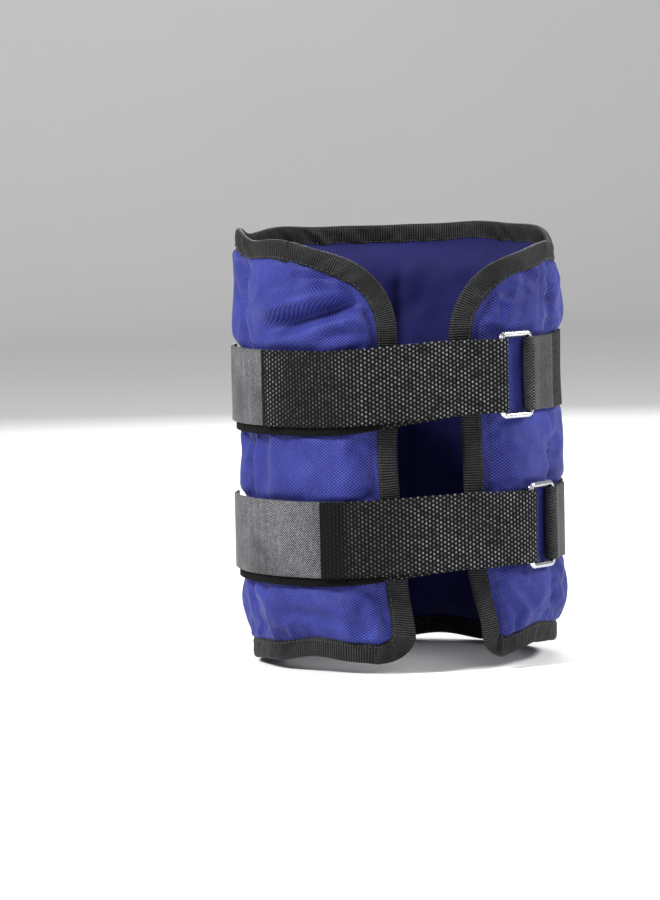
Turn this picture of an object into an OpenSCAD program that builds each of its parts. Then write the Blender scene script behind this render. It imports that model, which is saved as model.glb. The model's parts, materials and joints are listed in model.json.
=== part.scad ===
// Ankle cuff weight: a padded wrap with filled pockets, closed round the leg by two
// webbing straps that fold through metal rings and hold by hook and loop tape.
// The Z axis is the axis of the bore, up; the front gap faces -Y; the origin is at
// the middle of the bore.

/* [Cuff body] */
// Height of the cuff from its bottom edge to its top edge
cuff_h = 214; // [208:1:226]
// Radius of the bore that closes round the leg
bore_r = 57; // [54:1:60]
// Thickness of the filled wall under the straps
wall_t = 23; // [22:0.5:25]
// Half of the gap between the two front edges
gap_half = 16.3; // [13:0.1:18]
// Radius of the two upper front corners
top_corner_r = 46; // [36:1:48]
// Radius of the two lower front corners
bottom_corner_r = 16; // [14:1:26]
// How far the wall swells above the strap line near the top and bottom
end_swell = 4; // [2:0.5:6]
// How far the wall swells between the two straps
middle_swell = 2.6; // [1:0.2:3]

/* [Fabric] */
// Thickness of the woven outer cover
cover_t = 1.2; // [0.8:0.1:1.4]
// Thickness of the inner lining
lining_t = 0.8; // [0.6:0.1:1]
// Thickness of an inner pouch's wall
pouch_t = 0.6; // [0.4:0.1:0.8]
// Width of the binding tape on each face
binding_w = 10; // [8:0.5:11]
// Thickness of the binding tape
binding_t = 1; // [0.8:0.1:1.2]

/* [Pockets] */
// Angle from the middle of the gap to the first pouch
pocket_start = 32; // [31:1:34]
// Angle of the seam beside the narrow front right pocket
first_seam = 58.5; // [56:0.5:62]
// Number of full pockets after the narrow one
full_pockets = 5; // [5]
// Space that the seam takes between two pouches
seam_gap = 2.2; // [1.6:0.1:3]

/* [Straps] */
// Width of the webbing
web_w = 36.5; // [34:0.5:37]
// Thickness of the webbing
web_t = 1.6; // [1.4:0.1:1.6]
// Height of each strap's middle above or below the middle of the cuff
strap_z = 38; // [37:0.5:39]
// Angle from the middle of the gap to the upper ring
upper_ring_angle = 32; // [32:0.5:38]
// Angle from the middle of the gap to the lower ring
lower_ring_angle = 44.5; // [40:0.5:48]
// Angle at which the upper tail's webbing ends
upper_tail_end = -64; // [-70:1:-40]
// Angle at which the lower tail's webbing ends
lower_tail_end = -40; // [-60:1:-30]
// Angle at which the upper hook tape ends
upper_hook_end = -110; // [-115:1:-100]
// Angle at which the lower hook tape ends
lower_hook_end = -107; // [-115:1:-100]

/* [Rings] */
// Diameter of the ring's wire
wire_d = 3.2; // [3:0.1:3.4]
// Distance between the ring's two long bars, centre to centre
ring_w = 19.5; // [18:0.5:21]
// Running clearance between a bar and the webbing folded round it
bar_clearance = 0.08; // [0.04:0.01:0.1]

/* [Hidden] */
$fn = 96;

// colours
cover_blue = [0.16, 0.17, 0.62];
lining_navy = [0.05, 0.05, 0.14];
binding_black = [0.07, 0.07, 0.08];
webbing_black = [0.11, 0.11, 0.12];
tape_grey = [0.22, 0.22, 0.23];
pouch_white = [0.80, 0.80, 0.76];
sand_grey = [0.30, 0.28, 0.27];
nickel = [0.80, 0.81, 0.83];

// radii of the wall
waist_r = bore_r + wall_t;                // outside of the cover under the straps
seam_r = waist_r - 4;                     // where cover and lining are sewn face to face
margin_t = 1;                             // thickness of each fabric in the sewn margin
fit_gap = 0.3;                            // space between soft layers
face_gap = 0.05;                          // space between fabrics sewn face to face

// heights of the wall
margin_w = binding_w + 2;                 // flat sewn margin along every edge
shoulder_z = cuff_h / 2 - margin_w;       // where the filled wall begins
bore_z = shoulder_z - 5;                  // end of the straight bore
swell_z = shoulder_z - 19;                // widest place of the end swelling
corner_r = 2.2;                           // centre-line radius of the ring's corners
ring_play = 0.3;                          // space between webbing and a short bar
ring_half_h = web_w / 2 + wire_d / 2 + ring_play;  // centre line of the short bars
clear_half_h = ring_half_h + wire_d / 2;  // half height of a ring over its wire
waist_top = strap_z + clear_half_h;       // ends of the straight part under a strap
waist_low = strap_z - clear_half_h;

// radii of the strap layers
band_r = waist_r + fit_gap;
bar_hole_r = wire_d / 2 + bar_clearance;
fold_r = bar_hole_r + web_t;
bar_r = band_r + fold_r;                  // distance of a ring's bars from the Z axis
loop_r = band_r + web_t + 0.02;
loop_t = 1.5;
tail_r = bar_r + bar_hole_r;
hook_t = 1.5;
hook_r = tail_r - hook_t - face_gap;
ring_plane = sqrt(bar_r * bar_r - ring_w * ring_w / 4);
bar_angle = atan(ring_w / 2 / ring_plane);

// spans of the strap layers, degrees
keeper_leg = 12;                          // under leg of the keeper fold
butt_gap = 0.2;                           // between the under leg and the band
keeper_over = 16;                         // upper leg, sewn down on the band
loop_start = -21;
loop_end = -116;
hook_lap = 8;                             // hook tape sewn under the webbing's end
band_stop = (fold_r + fit_gap) / (band_r * PI / 180);  // band ends clear of the tail's fold

// pockets
last_seam = 360 - pocket_start + 1;
seam_step = (last_seam - first_seam) / full_pockets;
pouch_in_r = bore_r + lining_t + fit_gap;
pouch_out_r = waist_r - cover_t - 1.5 * fit_gap;
pouch_half_h = bore_z - 4;
pouch_corner = 6;

lap = 0.4;                                // how far the keeper's fold runs into its slope
tail_lap = 1.2;                           // how far the tail's fold runs under its webbing
fold_step = 0.1;                          // the tail's fold is pressed thinner by this much
big = 3 * cuff_h;

// ---- general shapes ----

// turns a shape drawn along +X to the given angle, counted from the gap towards +X
module at_angle(angle) {
    rotate([0, 0, angle - 90]) children();
}

// part of a tube between two angles
module arc_band(inner_r, t, height, from, to) {
    at_angle(from)
        rotate_extrude(angle = to - from)
            translate([inner_r, -height / 2]) square([t, height]);
}

// the same arc as a flat outline
module arc_outline(inner_r, t, from, to) {
    reach = 3 * (inner_r + t);
    intersection() {
        difference() {
            circle(inner_r + t);
            circle(inner_r);
        }
        polygon(concat([[0, 0]], [
            for (i = [0 : 2])
                let (a = from - 90 + (to - from) * i / 2)
                [reach * cos(a), reach * sin(a)]
        ]));
    }
}

module tube(inner_r, outer_r, height) {
    difference() {
        cylinder(r = outer_r, h = height, center = true);
        cylinder(r = inner_r, h = height + 2, center = true);
    }
}

// outline of the front gap seen from the front, grown into both panels by inset
module gap_outline(inset) {
    top_z = cuff_h / 2 - top_corner_r;
    bottom_z = cuff_h / 2 - bottom_corner_r;
    translate([-gap_half - inset, -bottom_z])
        square([2 * (gap_half + inset), top_z + bottom_z]);
    translate([0, top_z]) corner_outline(top_corner_r, inset);
    translate([0, -bottom_z]) mirror([0, 1]) corner_outline(bottom_corner_r, inset);
}

// what the two rounded corners leave free at one end of the gap
module corner_outline(r, inset) {
    difference() {
        translate([-gap_half - r, 0]) square([2 * (gap_half + r), 2 * r]);
        for (side = [-1, 1]) translate([side * (gap_half + r), 0]) circle(r - inset);
    }
}

// the gap as a solid that cuts the front half of the wall
module gap_cut(inset) {
    rotate([90, 0, 0]) linear_extrude(2 * waist_r) gap_outline(inset);
}

// ---- wall profiles: lists of [radius, height] for the upper half, middle outwards ----

steps = 6;

function middle_swell_points(drop) = [
    for (i = [0 : steps - 1])
        let (z = waist_low * i / steps)
        [waist_r + middle_swell * cos(90 * i / steps) - drop, z]
];

function end_swell_points(drop) = [
    for (i = [1 : steps])
        [waist_r + end_swell * sin(90 * i / steps) - drop,
         waist_top + (swell_z - waist_top) * i / steps]
];

function shoulder_points(drop) = [
    for (i = [1 : steps])
        let (a = 90 * i / steps)
        [seam_r + margin_t + (waist_r + end_swell - drop - seam_r - margin_t) * cos(a),
         swell_z + (shoulder_z - drop - swell_z) * sin(a)]
];

function outer_half(drop) = concat(
    middle_swell_points(drop),
    [[waist_r - drop, waist_low], [waist_r - drop, waist_top]],
    end_swell_points(drop),
    shoulder_points(drop)
);

function inner_half(drop) = [
    [bore_r + drop, 0],
    [bore_r + drop, bore_z],
    [seam_r - margin_t, shoulder_z - drop]
];

// the same points from the bottom to the top
function both_halves(half) = concat(
    [for (i = [len(half) - 1 : -1 : 1]) [half[i][0], -half[i][1]]],
    half
);

// solid between the seam radius and the outside of the wall
module outer_swell(drop, from_r) {
    ends = shoulder_z - drop;
    rotate_extrude()
        polygon(concat([[from_r, -ends]], both_halves(outer_half(drop)), [[from_r, ends]]));
}

// solid between the inside of the wall and the seam radius
module inner_swell(drop, to_r) {
    ends = shoulder_z - drop;
    rotate_extrude()
        polygon(concat([[to_r, -ends]], both_halves(inner_half(drop)), [[to_r, ends]]));
}

// ---- body ----

module outer_cover() {
    color(cover_blue)
        union() {
            difference() {
                outer_swell(0, seam_r);
                gap_cut(margin_w);
                difference() {
                    outer_swell(cover_t, seam_r - 5);
                    gap_cut(margin_w + cover_t);
                }
            }
            difference() {
                tube(seam_r, seam_r + margin_t, cuff_h - 2 * binding_t);
                difference() {
                    cylinder(r = 2 * waist_r, h = 2 * (shoulder_z - cover_t), center = true);
                    gap_cut(margin_w + cover_t);
                }
                gap_cut(binding_t);
            }
        }
}

// the lining's wall and, inside the bindings, its sewn margin
module inner_lining() {
    color(lining_navy) {
        difference() {
            inner_swell(0, seam_r - face_gap);
            gap_cut(margin_w);
            difference() {
                inner_swell(lining_t, seam_r + 5);
                gap_cut(margin_w + lining_t);
            }
        }
        difference() {
            tube(seam_r - margin_t, seam_r - face_gap, cuff_h - 2 * binding_t);
            difference() {
                cylinder(r = 2 * waist_r, h = 2 * (shoulder_z + face_gap), center = true);
                gap_cut(margin_w - face_gap);
            }
            gap_cut(binding_t);
        }
    }
}

// pouch number i runs from one seam to the next, counted from the front right
function seam_at(i) = i == 0 ? pocket_start : first_seam + (i - 1) * seam_step;
function half_seam(r) = seam_gap / 2 / (r * PI / 180);

module pouch_solid(i, drop) {
    r = pouch_in_r + drop;
    spare = half_seam(r) + drop / (r * PI / 180);
    difference() {
        at_angle(seam_at(i - 1) + spare)
            rotate_extrude(angle = seam_at(i) - seam_at(i - 1) - 2 * spare)
                pouch_profile(drop);
        gap_cut(margin_w + cover_t + fit_gap + drop);
    }
}

module pouch_profile(drop) {
    r = pouch_corner - drop;
    translate([pouch_in_r + drop, 0])
        rounded_rectangle(pouch_out_r - pouch_in_r - 2 * drop, pouch_half_h - drop, r);
}

// rectangle from X = 0 to w and from Y = -half_h to half_h with round corners
module rounded_rectangle(w, half_h, r) {
    translate([r, -half_h]) square([w - 2 * r, 2 * half_h]);
    translate([0, r - half_h]) square([w, 2 * (half_h - r)]);
    for (x = [r, w - r], y = [r - half_h, half_h - r])
        translate([x, y]) circle(r, $fn = 32);
}

module pouch_bag(i) {
    color(pouch_white)
        difference() {
            pouch_solid(i, 0);
            pouch_solid(i, pouch_t);
        }
}

module sand_fill(i) {
    color(sand_grey) pouch_solid(i, pouch_t + face_gap);
}

// ---- bindings: tape folded over the sewn edge of cover and lining ----

tape_in_r = seam_r - margin_t - face_gap - binding_t;
tape_out_r = seam_r + margin_t + face_gap + binding_t;

module binding_ring(end) {
    z_edge = cuff_h / 2;
    corner = end > 0 ? top_corner_r : bottom_corner_r;
    color(binding_black)
        difference() {
            rotate_extrude()
                mirror([0, end < 0 ? 1 : 0])
                    difference() {
                        translate([tape_in_r, z_edge - binding_w])
                            square([tape_out_r - tape_in_r, binding_w]);
                        translate([tape_in_r + binding_t, z_edge - 2 * binding_w])
                            square([tape_out_r - tape_in_r - 2 * binding_t,
                                    2 * binding_w - binding_t + face_gap]);
                    }
            translate([-gap_half - corner - face_gap, -big, -big])
                cube([2 * (gap_half + corner + face_gap), big, 2 * big]);
        }
}

module edge_binding(side) {
    color(binding_black)
        difference() {
            intersection() {
                tube(tape_in_r, tape_out_r, cuff_h);
                gap_cut(binding_w);
                mirror([side < 0 ? 1 : 0, 0, 0]) translate([0, -big, -big])
                    cube([big, big, 2 * big]);
            }
            gap_cut(0);
            difference() {
                tube(tape_in_r + binding_t, tape_out_r - binding_t, cuff_h + 2);
                gap_cut(binding_t - face_gap);
            }
        }
}

// ---- straps ----

// moves a shape to a ring's bar: local X runs along the wall, local Y points outwards
module at_bar(angle) {
    at_angle(angle) translate([bar_r, 0, 0]) rotate([0, 0, 90]) mirror([0, 1, 0]) children();
}

function drop_at(x, r) = sqrt(r * r - x * x) - bar_r;

module band(ring_angle) {
    left_bar = ring_angle - bar_angle;
    right_bar = ring_angle + bar_angle;
    color(webbing_black)
        arc_band(band_r, web_t, web_w, right_bar + keeper_leg + butt_gap,
                 360 + left_bar - band_stop);
}

module keeper(ring_angle) {
    right_bar = ring_angle + bar_angle;
    slope_end = 7.5;
    slope_lap = 0.1;
    slope_angle = asin(slope_end / loop_r);
    color(webbing_black)
        union() {
            at_bar(right_bar)
                linear_extrude(web_w, center = true)
                    difference() {
                        union() {
                            intersection() {
                                circle(fold_r);
                                translate([-2 * fold_r, -2 * fold_r])
                                    square([2 * fold_r + lap, 4 * fold_r]);
                            }
                            polygon([
                                [0, bar_hole_r], [0, fold_r],
                                [slope_end, drop_at(slope_end, loop_r + web_t)],
                                [slope_end, drop_at(slope_end, loop_r)]
                            ]);
                        }
                        circle(bar_hole_r);
                    }
            arc_band(band_r, web_t, web_w, right_bar, right_bar + keeper_leg);
            arc_band(loop_r, web_t, web_w, right_bar + slope_angle - slope_lap,
                     right_bar + keeper_over);
        }
}

module loop_tape() {
    color(tape_grey) arc_band(loop_r, loop_t, web_w, loop_end, loop_start);
}

module ring(ring_angle) {
    r = wire_d / 2;
    half_w = ring_w / 2;
    long = 2 * (ring_half_h - corner_r);
    short = ring_w - 2 * corner_r;
    color(nickel)
        at_angle(ring_angle) translate([ring_plane, 0, 0])
            union() {
                for (s = [-1, 1]) {
                    translate([0, s * half_w, -long / 2]) cylinder(r = r, h = long, $fn = 48);
                    translate([0, -short / 2, s * ring_half_h])
                        rotate([-90, 0, 0]) cylinder(r = r, h = short, $fn = 48);
                    for (end = [-1, 1])
                        translate([0, s * (half_w - corner_r), end * (ring_half_h - corner_r)])
                            ring_corner(s, end);
                }
            }
}

// a quarter turn of wire, bending from the Y direction to the Z direction
module ring_corner(side, end) {
    mirror([0, side < 0 ? 1 : 0, 0]) mirror([0, 0, end < 0 ? 1 : 0])
        rotate([0, 90, 0]) rotate([0, 0, 90])
            rotate_extrude(angle = 90) translate([corner_r, 0]) circle(wire_d / 2, $fn = 48);
}

// the webbing's fold round the left bar, and its tail back over the gap
module strap_tail(ring_angle, tail_end) {
    left_bar = ring_angle - bar_angle;
    color(webbing_black)
        linear_extrude(web_w, center = true)
            difference() {
                union() {
                    arc_outline(tail_r, web_t, tail_end, left_bar);
                    at_bar(left_bar)
                        intersection() {
                            circle(fold_r - fold_step);
                            translate([-tail_lap, -2 * fold_r]) square(4 * fold_r);
                        }
                }
                at_bar(left_bar) {
                    circle(bar_hole_r);
                    translate([-2 * fold_r, -2 * fold_r]) square(2 * fold_r);
                }
            }
}

module hook_tape(tail_end, hook_end) {
    color(tape_grey) arc_band(hook_r, hook_t, web_w, hook_end, tail_end + hook_lap);
}

// ---- one module per sub-part ----

module pouch_bag_1() pouch_bag(1);
module pouch_bag_2() pouch_bag(2);
module pouch_bag_3() pouch_bag(3);
module pouch_bag_4() pouch_bag(4);
module pouch_bag_5() pouch_bag(5);
module pouch_bag_6() pouch_bag(6);
module sand_fill_1() sand_fill(1);
module sand_fill_2() sand_fill(2);
module sand_fill_3() sand_fill(3);
module sand_fill_4() sand_fill(4);
module sand_fill_5() sand_fill(5);
module sand_fill_6() sand_fill(6);
module top_binding() binding_ring(1);
module bottom_binding() binding_ring(-1);
module left_edge_binding() edge_binding(-1);
module right_edge_binding() edge_binding(1);
module upper() translate([0, 0, strap_z]) children();
module lower() translate([0, 0, -strap_z]) children();
module upper_band() upper() band(upper_ring_angle);
module upper_loop_tape() upper() loop_tape();
module upper_keeper() upper() keeper(upper_ring_angle);
module upper_ring() upper() ring(upper_ring_angle);
module upper_strap_tail() upper() strap_tail(upper_ring_angle, upper_tail_end);
module upper_hook_tape() upper() hook_tape(upper_tail_end, upper_hook_end);
module lower_band() lower() band(lower_ring_angle);
module lower_loop_tape() lower() loop_tape();
module lower_keeper() lower() keeper(lower_ring_angle);
module lower_ring() lower() ring(lower_ring_angle);
module lower_strap_tail() lower() strap_tail(lower_ring_angle, lower_tail_end);
module lower_hook_tape() lower() hook_tape(lower_tail_end, lower_hook_end);

outer_cover();
inner_lining();
pouch_bag_1();
pouch_bag_2();
pouch_bag_3();
pouch_bag_4();
pouch_bag_5();
pouch_bag_6();
sand_fill_1();
sand_fill_2();
sand_fill_3();
sand_fill_4();
sand_fill_5();
sand_fill_6();
top_binding();
bottom_binding();
left_edge_binding();
right_edge_binding();
upper_band();
upper_loop_tape();
upper_keeper();
upper_ring();
upper_strap_tail();
upper_hook_tape();
lower_band();
lower_loop_tape();
lower_keeper();
lower_ring();
lower_strap_tail();
lower_hook_tape();
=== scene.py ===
"""Ankle cuff weight: the soft goods, materials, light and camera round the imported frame.

Lengths in this script are in millimetres and angles in degrees unless a name says otherwise;
meshes are scaled to metres when they are made. An angle round the cuff is counted from the
front gap (-Y) towards the rings (+X).
"""
import json
import math

import bpy
import numpy as np
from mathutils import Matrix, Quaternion, Vector


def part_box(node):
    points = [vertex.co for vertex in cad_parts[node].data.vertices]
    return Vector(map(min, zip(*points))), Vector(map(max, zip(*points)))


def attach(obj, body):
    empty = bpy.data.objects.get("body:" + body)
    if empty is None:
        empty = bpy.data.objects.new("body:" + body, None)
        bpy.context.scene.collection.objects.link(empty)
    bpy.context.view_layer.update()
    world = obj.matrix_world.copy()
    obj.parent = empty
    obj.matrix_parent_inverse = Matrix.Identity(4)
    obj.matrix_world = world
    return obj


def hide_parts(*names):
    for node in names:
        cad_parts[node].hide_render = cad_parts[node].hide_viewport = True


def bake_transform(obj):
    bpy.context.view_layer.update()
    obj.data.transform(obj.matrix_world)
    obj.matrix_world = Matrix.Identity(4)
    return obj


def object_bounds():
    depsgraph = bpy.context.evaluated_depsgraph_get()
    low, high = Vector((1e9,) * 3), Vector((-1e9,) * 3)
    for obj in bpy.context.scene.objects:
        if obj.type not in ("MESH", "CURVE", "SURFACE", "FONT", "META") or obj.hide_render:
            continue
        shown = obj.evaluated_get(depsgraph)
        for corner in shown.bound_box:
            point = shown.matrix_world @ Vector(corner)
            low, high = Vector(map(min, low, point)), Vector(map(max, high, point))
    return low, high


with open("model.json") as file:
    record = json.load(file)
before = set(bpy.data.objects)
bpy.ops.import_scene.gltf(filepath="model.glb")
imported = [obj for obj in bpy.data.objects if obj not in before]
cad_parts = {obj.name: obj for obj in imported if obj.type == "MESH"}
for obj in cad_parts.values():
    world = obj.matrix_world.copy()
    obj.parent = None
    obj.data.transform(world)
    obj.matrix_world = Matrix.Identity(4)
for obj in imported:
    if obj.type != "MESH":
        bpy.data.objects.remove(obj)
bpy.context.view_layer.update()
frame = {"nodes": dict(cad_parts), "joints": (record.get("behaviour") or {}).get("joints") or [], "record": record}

MM = 0.001

# ---------------------------------------------------------------- sizes from the frame

JOINT = {j["name"]: j for j in frame["joints"]}
CUFF_H = (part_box("top_binding")[1].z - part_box("bottom_binding")[0].z) / MM
BORE_R = frame["record"]["mounts"][0]["dims"]["r_mm"]
STRAP_Z = JOINT["upper_ring_pivot"]["pos_m"][2] / MM
WEB_W = (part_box("upper_band")[1].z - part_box("upper_band")[0].z) / MM
WAIST_R = BORE_R + 23        # outside of the wall under the straps
SEAM_R = WAIST_R - 4         # where cover and lining are sewn face to face
WEB_T = 1.6                  # webbing
WIRE_R = 1.6                 # ring wire
GAP_HALF = 16.3              # half of the front gap
TOP_CORNER = 46.0            # upper front corners
BOTTOM_CORNER = 16.0         # lower front corners
SEAM_IN = 13.0               # edge to the seam that closes the pockets
LINING_INSET = 1.0           # the lining's cut edge, in from the folded edge of the binding
TAPE_SHOW = 1.5              # a relaxed tape is this much wider than one drawn through a ring
BAND_R = WAIST_R + 1.1       # middle of the band's thickness
FOLD_R = WIRE_R + 0.08 + WEB_T / 2   # middle of webbing folded round a bar
LOOP_R = BAND_R + WEB_T / 2 + 0.8    # middle of the loop tape
HOOK_DROP = 1.62             # middle of the hook tape under the middle of the tail
HOOK_LAP = 8.0               # degrees of hook tape sewn under the tail's end
LOOP_RISE = 1.55             # middle of the loop tape over the middle of the band
LOOP_SPAN = (-19.0, -116.0)  # angles between which the loop tape lies
SIDE_TAPE_LIFT = 0.25        # the front edges' tape laps over the tapes along the rims
PANEL_START = 30.5           # the first and last pockets begin this far from the gap's middle
SHOULDER = 23.0              # the straps bend over the pockets' front ends at this angle
CHANNELS = [58.5 + 54.1 * i for i in range(5)]  # seams between the pockets
TAIL_ENDS = {"upper": -64.0, "lower": -40.0}
HOOK_ENDS = {"upper": -110.0, "lower": -107.0}
SIDE_Z = {"upper": STRAP_Z, "lower": -STRAP_Z}
TAIL_DROP = {"upper": 4.5, "lower": 3.0}        # how far each tail slants down to the left
BAND_DROP = {"upper": 9.0, "lower": 7.5}        # and the band under it


def smooth(t):
    t = np.clip(t, 0.0, 1.0)
    return t * t * (3 - 2 * t)


def bar(level, joint):
    """(distance from the Z axis, angle) of a ring's bar."""
    x, y, _ = JOINT[f"{level}_{joint}"]["pos_m"]
    return math.hypot(x, y) / MM, math.degrees(math.atan2(x, -y))


def round_the_cuff(r, angle, z):
    a = np.radians(angle)
    return np.stack(np.broadcast_arrays(r * np.sin(a), -r * np.cos(a), z), -1)


# ---------------------------------------------------------------- noise

class Waves:
    """Smooth repeatable noise: a sum of sines with random directions and phases."""

    def __init__(self, seed, wavelength, count=14, dims=2):
        rng = np.random.default_rng(seed)
        directions = rng.normal(size=(count, dims))
        directions /= np.linalg.norm(directions, axis=1)[:, None]
        lengths = wavelength * rng.uniform(0.7, 1.6, count)
        self.k = directions * (math.tau / lengths)[:, None]
        self.phase = rng.uniform(0, math.tau, count)
        self.gain = math.sqrt(2 / count)

    def __call__(self, *coords):
        p = np.stack(np.broadcast_arrays(*coords), -1).astype(float)
        return self.gain * np.sin(p @ self.k.T + self.phase).sum(-1)


# ---------------------------------------------------------------- meshes

def make_mesh(name, verts_mm, faces, fabric_mm, material):
    """fabric_mm is the place along and across the cloth, for the weave."""
    mesh = bpy.data.meshes.new(name)
    mesh.from_pydata([tuple(v) for v in np.asarray(verts_mm) * MM], [], faces)
    mesh.validate()
    set_fabric(mesh, fabric_mm)
    mesh.shade_smooth()
    obj = bpy.data.objects.new(name, mesh)
    bpy.context.scene.collection.objects.link(obj)
    mesh.materials.append(material)
    return obj


def set_fabric(mesh, fabric_mm):
    layer = mesh.attributes.new("fabric", "FLOAT_VECTOR", "POINT")
    flat = np.zeros((len(mesh.vertices), 3), np.float32)
    flat[:, :2] = np.asarray(fabric_mm).reshape(-1, 2) * MM
    layer.data.foreach_set("vector", flat.ravel())


def sweep(name, rings, fabric, material):
    """Skin over rings (n, m, 3) of closed cross-sections, with a cap on each end."""
    n, m, _ = rings.shape
    faces = []
    for i in range(n - 1):
        a, b = i * m, (i + 1) * m
        for j in range(m):
            k = (j + 1) % m
            faces.append((a + j, a + k, b + k, b + j))
    faces.append(tuple(range(m))[::-1])
    faces.append(tuple((n - 1) * m + j for j in range(m)))
    return make_mesh(name, rings.reshape(-1, 3), faces, fabric.reshape(-1, 2), material)


def web_section(width, thickness, step=1.0, edge=0.35):
    """Closed cross-section of a flat tape: (across, up) pairs, outer face first."""
    half = width / 2
    across = np.linspace(-half + edge, half - edge, int(round(width / step)))
    top = [(a, thickness / 2) for a in across]
    right = [(half - 0.08, thickness / 4), (half - 0.08, -thickness / 4)]
    under = [(a, -thickness / 2) for a in across[::-1]]
    left = [(-half + 0.08, -thickness / 4), (-half + 0.08, thickness / 4)]
    return np.array(top + right + under + left)


def resample(points, step):
    """Even steps along a line of (x, y, centre height) points; returns them and the distance."""
    points = np.asarray(points, float)
    d = np.r_[0, np.cumsum(np.linalg.norm(np.diff(points[:, :2], axis=0), axis=1))]
    count = max(2, int(round(d[-1] / step)) + 1)
    s = np.linspace(0, d[-1], count)
    return np.stack([np.interp(s, d, points[:, i]) for i in range(3)], -1), s


def tape_width(line):
    """Narrower where the tape is drawn through a ring, relaxed elsewhere."""
    angle = np.degrees(np.arctan2(line[:, 0], -line[:, 1]))
    level = np.where(line[:, 2] > 0, 0, 1)
    middles = np.array([np.mean([bar(side, "ring_pivot")[1], bar(side, "strap_peel")[1]])
                        for side in ("upper", "lower")])
    away = np.abs(angle - middles[level])
    return WEB_W + TAPE_SHOW * smooth((away - 9) / 24)


def strap(name, path, material, thickness=WEB_T, step=1.2,
          wobble=0.12, seed=1, splay=0.0, painted_shade=None):
    """A tape standing on edge along path, which is (x, y, centre height) points.

    Walking along the path, the outer face is on the right. splay leans the tape's end outwards.
    The last argument lists (distance from the end, 0 to 1): painted shade that dims the weave's painted highlights
    near the tape's end, where the tail lies in shade by the hook tape's lap.
    """
    line, s = resample(path, step)
    tangent = np.gradient(line[:, :2], s, axis=0)
    tangent /= np.linalg.norm(tangent, axis=1)[:, None]
    normal = np.stack([tangent[:, 1], -tangent[:, 0]], -1)
    section = web_section(WEB_W, thickness)
    wide = tape_width(line)[:, None] / WEB_W
    across, up = section[:, 0][None, :] * wide, section[:, 1][None, :]
    out = up + wobble * Waves(seed, 26)(s[:, None], across * 0.7)
    out = out + splay * smooth((s[:, None] - s[-1] + 14) / 14)
    rings = np.empty((len(s), len(section), 3))
    rings[..., :2] = line[:, None, :2] + out[..., None] * normal[:, None, :]
    rings[..., 2] = line[:, None, 2] + across
    fabric = np.stack(np.broadcast_arrays(s[:, None], across), -1)
    tape = sweep(name, rings, fabric, material)
    # painted shade near the tape's end, kept as a point attribute for the webbing's shader
    if painted_shade:
        where, value = np.array(painted_shade, float).T
        shade_values = np.repeat(np.interp(s[-1] - s, where, value), len(section)).astype(np.float32)
        layer = tape.data.attributes.new("painted_shade", "FLOAT", "POINT")
        layer.data.foreach_set("value", shade_values)
    return tape


# ---------------------------------------------------------------- node materials

class Nodes:
    """A small builder for shader nodes."""

    def __init__(self, name):
        self.material = bpy.data.materials.new(name)
        self.material.use_nodes = True
        self.tree = self.material.node_tree
        self.tree.nodes.clear()
        self.output = self.add("ShaderNodeOutputMaterial")
        self.shader = self.add("ShaderNodeBsdfPrincipled")
        self.link(self.shader.outputs["BSDF"], self.output.inputs["Surface"])

    def add(self, kind, **settings):
        node = self.tree.nodes.new(kind)
        for key, value in settings.items():
            setattr(node, key, value)
        return node

    def link(self, a, b):
        self.tree.links.new(a, b)

    def put(self, value, socket):
        if isinstance(value, bpy.types.NodeSocket):
            self.link(value, socket)
        else:
            socket.default_value = value

    def math(self, operation, a, b=0.0, c=0.0, clamp=False):
        node = self.add("ShaderNodeMath", operation=operation, use_clamp=clamp)
        for value, socket in zip((a, b, c), node.inputs):
            self.put(value, socket)
        return node.outputs[0]

    def fabric(self):
        """Place along and across the cloth, in millimetres."""
        attribute = self.add("ShaderNodeAttribute", attribute_name="fabric")
        split = self.add("ShaderNodeSeparateXYZ")
        self.link(attribute.outputs["Vector"], split.inputs[0])
        return tuple(self.math("MULTIPLY", split.outputs[i], 1000.0) for i in range(2))

    def object_point(self):
        return self.add("ShaderNodeTexCoord").outputs["Object"]

    def noise(self, scale, detail=2.0, rough=0.5, vector=None, stretch=None):
        vector = vector or self.object_point()
        if stretch:
            mapping = self.add("ShaderNodeMapping")
            mapping.inputs["Scale"].default_value = stretch
            self.link(vector, mapping.inputs["Vector"])
            vector = mapping.outputs[0]
        node = self.add("ShaderNodeTexNoise")
        node.inputs["Scale"].default_value = scale
        node.inputs["Detail"].default_value = detail
        node.inputs["Roughness"].default_value = rough
        self.link(vector, node.inputs["Vector"])
        return node.outputs["Fac"]

    def remap(self, value, low, high, to_low=0.0, to_high=1.0):
        node = self.add("ShaderNodeMapRange")
        for v, socket in zip((value, low, high, to_low, to_high), node.inputs):
            self.put(v, socket)
        return node.outputs[0]

    def blend(self, factor, a, b, mode="MIX"):
        node = self.add("ShaderNodeMix", data_type="RGBA", blend_type=mode)
        self.put(factor, node.inputs[0])
        self.put(colour(a), node.inputs[6])
        self.put(colour(b), node.inputs[7])
        return node.outputs[2]

    def bump(self, height, distance_mm, strength=1.0, normal=None):
        node = self.add("ShaderNodeBump")
        node.inputs["Strength"].default_value = strength
        node.inputs["Distance"].default_value = distance_mm * MM
        self.link(height, node.inputs["Height"])
        if normal is not None:
            self.link(normal, node.inputs["Normal"])
        return node.outputs[0]

    def finish(self, base, roughness, normal=None, **constants):
        self.put(colour(base), self.shader.inputs["Base Color"])
        self.put(roughness, self.shader.inputs["Roughness"])
        if normal is not None:
            self.link(normal, self.shader.inputs["Normal"])
        for key, value in constants.items():
            self.shader.inputs[key.replace("_", " ")].default_value = value
        return self.material


def colour(c):
    return (*c, 1.0) if isinstance(c, tuple) and len(c) == 3 else c


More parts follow.
